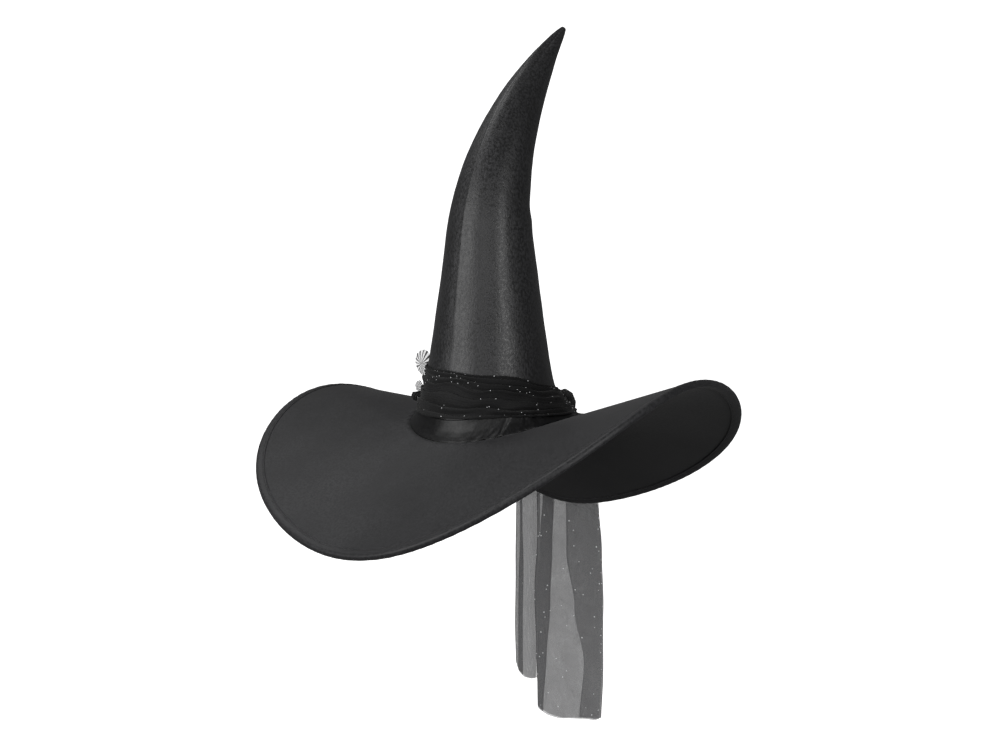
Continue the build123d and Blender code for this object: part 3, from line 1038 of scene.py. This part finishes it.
def tail_mesh(name, node, knot_spread, folds, shares, hem, columns):
    """A strip of net in folded layers: gathered at the knot, fanned over the brim, then hanging."""
    rows = TAIL_ROWS
    box_low, box_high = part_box(node)
    joint = joints[node + "_swing"]
    pivot = Vector(joint["pos_m"])
    half = (box_high.x - box_low.x) / 2 / swing_axis.x
    bottom = box_low.z
    grid_rows = []
    edge_rows = int(rows * TAIL_RUN_SHARE)
    for r in range(rows + 1):
        row = []
        for c in range(columns + 1):
            u = c / columns
            if r <= edge_rows:
                near = fold_place(folds, shares, u, 0)
                row.append(run_point(r / edge_rows, u, near, knot_spread, pivot, half))
            else:
                down = (r - edge_rows) / (rows - edge_rows)
                place, depth = fold_place(folds, shares, u, down)
                row.append(hang_point(down, place, depth, pivot, half, bottom, hem, u))
        grid_rows.append(row)
    obj = grid(name, grid_rows, uv=lambda row, column: (column / columns * 0.27, row / rows * 0.5))
    crease_strips(obj, shares, columns, edge_rows + CREASE_START)
    return obj


def over_edge(pivot, half, place):
    """The brim's edge straight behind a place along a tail."""
    base = pivot + swing_axis * ((place - 0.5) * 2 * half)
    return edge_point(atan2(base.y, base.x))


def ground_height(x, y, edge):
    """Height of what a tail lies on: the brim, the seam inside its hole, or the edge past it."""
    for shrink in (1, 0.99, 0.98, 0.97):
        level = brim_height(x * shrink, y * shrink)
        if level is not None:
            return level
    turn = atan2(y, x)
    return seam_height(turn) if hypot(x, y) < MIDDLE_RADIUS else edge.z


def run_point(share, u, near, knot_spread, pivot, half):
    """On the brim: from the knot's gathers to the edge, lying on the satin."""
    edge = over_edge(pivot, half, near[0])
    start = knot_centre + polar(knot_turn, 1.0) * 4 * MM
    side = Vector((-sin(knot_turn), cos(knot_turn), 0))
    start = start + side * ((knot_spread[0] + (knot_spread[1] - knot_spread[0]) * near[0]) * MM)
    spread = share ** 0.8
    x = start.x + (edge.x - start.x) * share
    y = start.y + (edge.y - start.y) * share
    ground = ground_height(x, y, edge)
    pleat = 0.5 + 0.5 * sin(u * tau * 7 + 1.5 * sin(u * 9))
    crumple = noise.noise(Vector((u * 14, share * 5, 0.3)))
    heap = exp(-((share - 0.12) / 0.12) ** 2)
    loose = (3.5 + 5 * pleat + 3 * crumple) * (1 - spread) + (1.9 + 0.1 * near[1] + 0.6 * pleat)
    loose += heap * (5 + 5 * noise.noise(Vector((u * 9, share * 16, 2.1))))
    lift = max(loose, 1.9) * MM
    early = max(0, 1 - share / 0.12)
    height = ground + lift
    height += (knot_centre.z - 4 * MM + 7 * MM * sin(u * 9) - height) * early ** 1.5
    return Vector((x, y, height))


def hang_point(down, place, depth, pivot, half, bottom, hem, u):
    """Below the edge: over the binding, out to the hanging plane, then straight down."""
    edge = over_edge(pivot, half, place)
    column = pivot + swing_axis * ((place - 0.5) * 2 * half)
    stop = bottom + curve_through(hem, min(max(place, 0), 1)) * MM
    top = edge.z + 1.5 * MM
    height = top + (stop - top) * down
    drop = (top - height) / MM
    over = 1 - exp(-drop / 4.5)
    reach = Vector((column.x - edge.x, column.y - edge.y, 0)).dot(outward) - EDGE_CLEAR
    start = column - outward * reach
    settle = min(1, drop / 18)
    folds = depth * settle * MM
    sway = 0.9 * noise.noise(Vector((place * 3, down * 2.2, depth * 0.3))) * settle * MM
    point = start + outward * (reach * over + folds + sway)
    wander = 1.1 * noise.noise(Vector((u * 9, down * 4, 5))) + 0.4 * sin(down * 9 + u * 20)
    point += swing_axis * (wander * min(1, down * 3) * MM)
    point.z = height
    return point


# each fold: its place across the tail at stations from the brim to the hem, then the depth in mm of
# the layer that starts there; each hem: its rise in mm at places across the tail
LONG_FOLDS = [
    ((0.93, 0.97, 1.0, 1.0, 0.97), -2.2),
    ((0.02, 0.03, 0.0, 0.02, 0.05), -0.6),
    ((0.27, 0.25, 0.22, 0.17, 0.13), 0.9),
    ((0.10, 0.06, 0.02, 0.03, 0.04), 2.4),
    ((0.90, 0.96, 0.99, 1.0, 0.98), 4.0),
    ((0.43, 0.44, 0.57, 0.71, 0.66), 4.0),
]
LONG_SHARES = [0.0, 0.36, 0.43, 0.49, 0.84, 1.0]
LONG_HEM = [12, 5, 1, 0, 0, 2, 4, 6, 8, 9, 13]
SHORT_FOLDS = [
    ((1.14, 1.14, 1.14, 1.12, 1.08), 6.4),
    ((0.04, 0.03, 0.0, -0.03, 0.02), 5.6),
    ((0.30, 0.32, 0.36, 0.38, 0.38), 4.9),
    ((0.22, 0.22, 0.20, 0.14, 0.16), 4.2),
    ((1.10, 1.08, 1.10, 1.06, 1.02), 4.2),
]
SHORT_SHARES = [0.0, 0.42, 0.53, 0.62, 1.0]
SHORT_HEM = [22, 12, 7, 4, 1.5, 0, 0, 0, 0, 1, 2]
TAIL_ROWS = 160

long_tail = tail_mesh(
    "long_tail_tulle", "long_tail", (-15, 3), LONG_FOLDS, LONG_SHARES, LONG_HEM, columns=210
)
short_tail = tail_mesh(
    "short_tail_tulle", "short_tail", (5, 14), SHORT_FOLDS, SHORT_SHARES, SHORT_HEM, columns=90
)
tails = ((long_tail, "long_tail", 230), (short_tail, "short_tail", 70))


def hang_over(piece, node):
    """Bake the piece's placement into its mesh; the tail's joint and pivot are read but not used."""
    joint = joints[node + "_swing"]
    pivot = Vector(joint["pos_m"])
    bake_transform(piece)


for piece, node, _ in tails:
    dress(piece, tail_net_painted_light, body=None, replaced=[node, node + "_run"])
    hang_over(piece, node)


# ---- glitter
FLAKE_SIDES = 6
FLAKE_LIFT = 0.25
FLAKE_THICK = 0.2


def flake_mesh(name, places):
    """Small six-sided flakes, each lying on the net it is stuck to."""
    made = bmesh.new()
    for centre, normal, size in places:
        side = normal.orthogonal().normalized()
        other = normal.cross(side)
        top = []
        for s in range(FLAKE_SIDES):
            a = tau * s / FLAKE_SIDES
            corner = (side * cos(a) + other * sin(a)) * size
            top.append(made.verts.new(centre + corner + normal * FLAKE_LIFT * MM))
        low = [made.verts.new(v.co - normal * FLAKE_THICK * MM) for v in top]
        made.faces.new(top)
        made.faces.new(list(reversed(low)))
        for s in range(FLAKE_SIDES):
            n = (s + 1) % FLAKE_SIDES
            made.faces.new((top[s], low[s], low[n], top[n]))
    return from_bmesh(name, made)


def scattered(obj, count, low=0.3, high=0.6):
    """Flake places on a mesh's faces, chosen with a fixed seed."""
    polygons = list(obj.data.polygons)
    chosen = random.sample(polygons, min(count, len(polygons)))
    return [(p.center.copy(), p.normal.copy(), random.uniform(low, high) * MM) for p in chosen]


dress(flake_mesh("sash_glitter", scattered(sash, 260, high=0.55)), glitter)
dress(flake_mesh("knot_glitter", scattered(knot, 10)), glitter)
for piece, node, count in tails:
    flakes = flake_mesh(node + "_glitter", scattered(piece, count, low=0.5, high=0.9))
    dress(flakes, glitter, body=None)
    hang_over(flakes, node)


# ---- rosette
LOOP_ROWS = 96
LOOP_COLUMNS = 16
LOOP_WIDTH = 11 * MM


def ribbon_loop(name, node, lean, ribs, drop):
    """A loop of sheer ribbon that stands off the crown, one edge gathered to its middle."""
    low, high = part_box(node)
    centre = (low + high) / 2
    turn = atan2(centre.y, centre.x)
    out = polar(turn, 1.0)
    side = Vector((-sin(turn), cos(turn), 0))
    centre -= UP * drop
    tall = (high.z - low.z) / 2 * 1.12
    rows = []
    for r in range(LOOP_ROWS + 1):
        a = tau * r / LOOP_ROWS
        shape = out * (cos(a) * tall * 0.6 * (1 + 0.15 * sin(a)))
        shape += UP * (sin(a) * tall * (1 + 0.05 * cos(3 * a)))
        row = []
        for c in range(LOOP_COLUMNS + 1):
            s = c / LOOP_COLUMNS
            gathered = 1 - 0.98 * s ** 1.6
            flute = 0.5 * MM * sin(a * ribs) * sin(pi * s) + 0.25 * MM * sin(a * ribs * 2.3) * (1 - s)
            across = (s - 0.5) * LOOP_WIDTH * (1 if s < 0.5 else 0.6) + lean * sin(a)
            point = centre + shape * gathered + side * across
            row.append(point + shape.normalized() * flute)
        rows.append(row)
    obj = grid(name, rows, uv=lambda row, column: (row / LOOP_ROWS * 0.075, column / LOOP_COLUMNS * 0.015))
    thicken(obj, 0.15 * MM, 0)
    dress(obj, organza, replaced=[node])


ribbon_loop("rosette_loop_upper", "rosette_upper_loop", lean=1.5 * MM, ribs=11, drop=0.5 * MM)
ribbon_loop("rosette_loop_lower", "rosette_lower_loop", lean=0.5 * MM, ribs=7, drop=5 * MM)


def rosette_gather():
    """The lumpy bunch of net at the rosette's middle."""
    low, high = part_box("rosette_centre")
    centre = (low + high) / 2 - UP * 3 * MM
    half = (high - low) / 2

    def place(way, lat, lon):
        lump = 0.92 + 0.22 * noise.noise(way * 3.2) - 0.12 * abs(sin(lon * 6 + lat * 2))
        return centre + Vector((way.x * half.x, way.y * half.y, way.z * half.z)) * lump

    gathers = ball("rosette_gathers", 32, 64, place, 0.05, 0.03)
    dress(gathers, sash_net, replaced=["rosette_centre"])


rosette_gather()

# ---- inside
inside_rows = crown_rows(lining_tree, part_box("crown_lining")[1].z - 6 * MM, detail=False)
lining = grid("crown_lining_cloth", inside_rows, wrap=True, cap=True, uv=crown_uv)
recalc(lining)
thicken(lining, 0.4 * MM)
dress(lining, lining_cloth, replaced=["crown_lining"])

sweat_tree = tree("sweatband")
SWEAT_ROWS = 8
SWEAT_BOTTOM = -4 * MM
SWEAT_WIDTH = 27 * MM
SWEAT_PROUD = 0.2 * MM
SWEAT_LEAN = 0.4 * MM


def sweatband_radius(turn, height):
    """Inside radius of the CAD sweatband at a height, or None above or below it."""
    centre = spine(height)
    for step in range(RAY_NUDGES):
        hit = sweat_tree.ray_cast(centre, polar(turn + RAY_NUDGE * step, 1.0), RAY_REACH)[0]
        if hit is not None:
            return (hit - centre).length
    return None


def sweatband_column(turn):
    """Points up the ribbon; past the CAD ribbon's ends it keeps the nearest radius."""
    low = seam_height(turn) + SWEAT_BOTTOM
    heights = [low + SWEAT_WIDTH * step / SWEAT_ROWS for step in range(SWEAT_ROWS + 1)]
    radii = [sweatband_radius(turn, height) for height in heights]
    known = [step for step, radius in enumerate(radii) if radius is not None]
    if not known:
        raise ValueError(f"the sweatband has a gap at turn {turn}")
    column = []
    for step, height in enumerate(heights):
        nearest = min(known, key=lambda k: abs(k - step))
        radius = radii[nearest] + SWEAT_PROUD - SWEAT_LEAN * abs(nearest - step)
        column.append(spine(height) + polar(turn, radius))
    return column


sweatband_columns = [sweatband_column(tau * c / TURNS) for c in range(TURNS)]
sweatband = grid(
    "sweatband_ribbon", [list(row) for row in zip(*sweatband_columns)], wrap=True,
    uv=lambda row, column: (column / TURNS * 0.56, row / SWEAT_ROWS * 0.028),
)
recalc(sweatband)
thicken(sweatband, 0.6 * MM, 1)
dress(sweatband, grosgrain, replaced=["sweatband"])


# ---- stage, camera and light
CAMERA_TURN = radians(37.9)
CAMERA_RISE = radians(9.95)
CAMERA_DISTANCE = 1.6
SENSOR = 36.0
LENS = 49.66
AIM_RIGHT = 6.8 * MM
AIM_UP = 51.3 * MM
level = cos(CAMERA_RISE)
back = Vector((sin(CAMERA_TURN) * level, -cos(CAMERA_TURN) * level, sin(CAMERA_RISE)))
right = Vector((cos(CAMERA_TURN), sin(CAMERA_TURN), 0))
upward = back.cross(right)
camera = linked("camera", bpy.data.cameras.new("camera"))
camera.data.sensor_width = SENSOR
camera.data.lens = LENS
camera.location = right * AIM_RIGHT + upward * AIM_UP + back * CAMERA_DISTANCE
camera.rotation_mode = "QUATERNION"
camera.rotation_quaternion = (-back).to_track_quat("-Z", "Y")
scene.camera = camera

FLOOR = cad_low.z - 0.06


def pale_material():
    """A pale sweep, a little uneven as painted board is."""
    m = Nodes("pale_sweep")
    m.colour(m.noise(m.coords(), 3), (0.86, 0.86, 0.86), (0.9, 0.9, 0.9))
    m.set(Roughness=0.9, Specular_IOR_Level=0.1, Emission_Color=(1, 1, 1, 1), Emission_Strength=1.1)
    return m.material


SWEEP_SIDES = 64
SWEEP_FLOOR, SWEEP_CURVE, SWEEP_TALL = 2.4, 1.2, 4.5


def sweep():
    """A pale round floor that curves up into a wall on every side."""
    profile = [(SWEEP_FLOOR * k / 6, 0.0) for k in range(1, 6)]
    for k in range(17):
        a = k / 16 * pi / 2
        profile.append((SWEEP_FLOOR + SWEEP_CURVE * sin(a), SWEEP_CURVE * (1 - cos(a))))
    profile.append((SWEEP_FLOOR + SWEEP_CURVE, SWEEP_TALL))
    rows = [
        [polar(tau * c / SWEEP_SIDES, run, FLOOR + rise) for c in range(SWEEP_SIDES)]
        for run, rise in profile
    ]
    rows.reverse()
    obj = grid("floor_sweep", rows, wrap=True, cap=True)
    obj.data.vertices[-1].co = (0, 0, FLOOR)
    obj.data.materials.append(pale_material())
    obj.visible_diffuse = False
    obj.visible_glossy = False
    obj.visible_shadow = False


sweep()


def soft_light(name, turn, distance, height, size, power, aim=(0, 0, 0.08)):
    """A rectangular soft light; turn is measured from the camera, to its right."""
    lamp = bpy.data.lights.new(name, "AREA")
    lamp.shape = "RECTANGLE"
    lamp.size, lamp.size_y = size
    lamp.energy = power
    obj = linked(name, lamp)
    flat_back = Vector((back.x, back.y, 0)).normalized()
    obj.location = (flat_back * cos(turn) + right * sin(turn)) * distance + Vector((0, 0, height))
    obj.rotation_mode = "QUATERNION"
    obj.rotation_quaternion = (obj.location - Vector(aim)).to_track_quat("Z", "Y")


soft_light("left_key", radians(-58), 1.9, 0.45, (1.15, 1.7), power=24)
soft_light("middle_fill", radians(-10), 2.2, 0.8, (1.0, 1.0), power=8)
soft_light("right_strip", radians(34), 2.0, 0.4, (0.2, 1.5), power=16)
soft_light("top_soft", radians(-115), 1.0, 1.9, (1.3, 1.3), power=15, aim=(0, 0, 0))

ROOM_LIGHT = 0.11
world = bpy.data.worlds.new("studio")
world.use_nodes = True
background = world.node_tree.nodes["Background"]
background.inputs["Color"].default_value = (1, 1, 1, 1)
background.inputs["Strength"].default_value = ROOM_LIGHT
scene.world = world
scene.view_settings.view_transform = "Standard"
